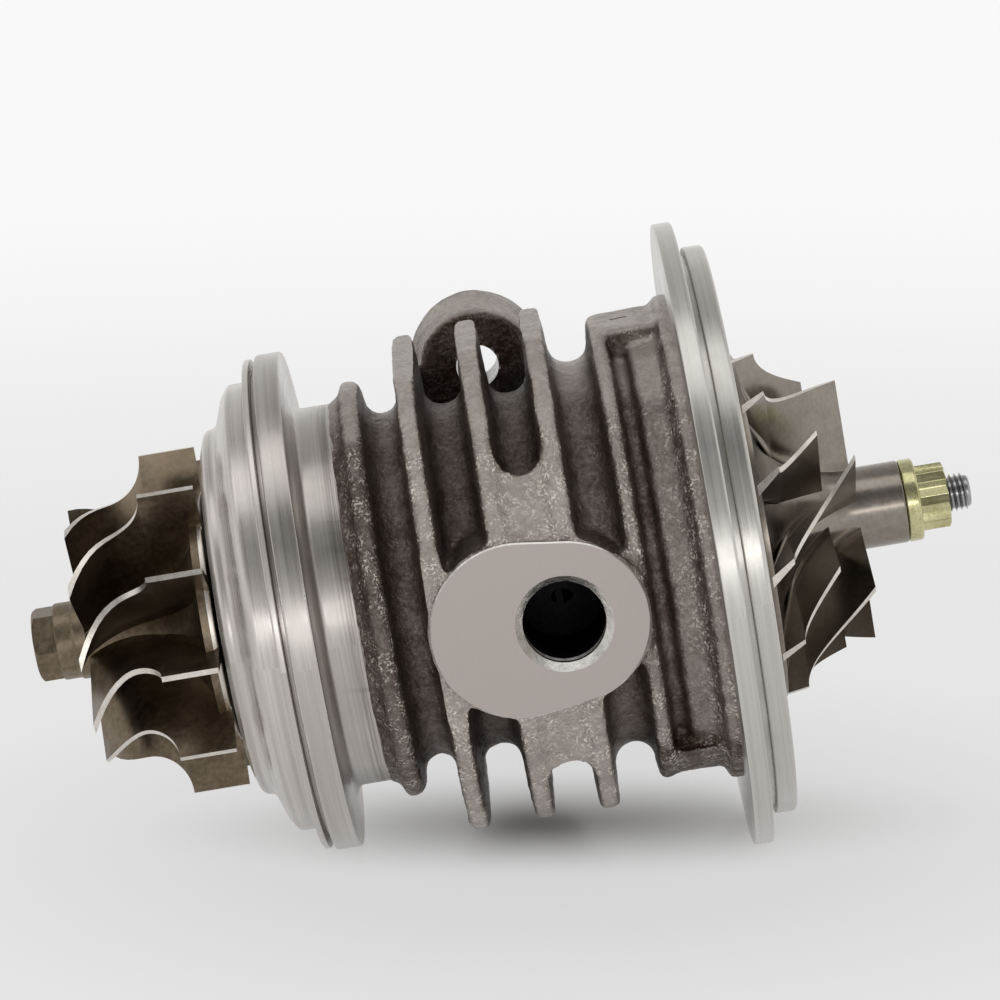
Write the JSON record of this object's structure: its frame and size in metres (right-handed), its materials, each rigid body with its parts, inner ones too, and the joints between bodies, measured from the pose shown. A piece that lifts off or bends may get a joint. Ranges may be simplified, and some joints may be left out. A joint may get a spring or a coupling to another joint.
{
  "type": "turbo cartridge",
  "caption": "Centre section of an exhaust turbocharger: finned bearing housing, turbine and compressor wheels on one shaft, heat shroud and compressor backplate.",
  "frame": {"origin": "on the shaft's centre line, at the front face of the turbine flange", "axes": "+X along the shaft from the turbine wheel to the compressor wheel, -Y out of the oil feed port, +Z towards the upper drain ear"},
  "size_m": [0.1463, 0.097, 0.097],
  "materials": {
    "cast_iron": "sand cast, with turned flanges and pad",
    "pressed_steel": "spun and polished",
    "turbine_alloy": "investment cast, matt, with ground blade edges",
    "shaft_steel": "ground",
    "bronze": "turned",
    "spring_steel": "dark, oiled",
    "turned_aluminium": "turned",
    "wheel_aluminium": "cast, with machined edges",
    "plated_nut": "yellow zinc plated",
    "seal_rubber": "plain"
  },
  "bodies": {
    "housing": {"bearing_housing": "cast_iron", "heat_shroud": "pressed_steel", "turbine_bearing_outer_snap_ring": "spring_steel", "turbine_bearing_inner_snap_ring": "spring_steel", "compressor_bearing_snap_ring": "spring_steel", "turbine_piston_ring": "spring_steel", "compressor_piston_ring": "spring_steel", "thrust_bearing": "bronze", "thrust_bearing_pins": "shaft_steel", "oil_baffle": "pressed_steel", "backplate": "turned_aluminium", "backplate_seal_ring": "seal_rubber", "backplate_screws": "spring_steel"},
    "rotor": {"turbine_wheel": "turbine_alloy", "rotor_shaft": "shaft_steel", "thrust_collar": "shaft_steel", "seal_sleeve": "shaft_steel", "compressor_wheel": "wheel_aluminium", "shaft_nut": "plated_nut"},
    "turbine_bearing": {"turbine_journal_bearing": "bronze"},
    "compressor_bearing": {"compressor_journal_bearing": "bronze"}
  },
  "joints": [
    {"name": "rotor_spin", "type": "hinge", "parent": "housing", "child": "rotor", "pos_m": [0, 0, 0], "axis": [1, 0, 0], "continuous": true},
    {"name": "turbine_bearing_spin", "type": "hinge", "parent": "housing", "child": "turbine_bearing", "pos_m": [0.018, 0, 0], "axis": [1, 0, 0], "continuous": true},
    {"name": "compressor_bearing_spin", "type": "hinge", "parent": "housing", "child": "compressor_bearing", "pos_m": [0.0475, 0, 0], "axis": [1, 0, 0], "continuous": true}
  ]
}
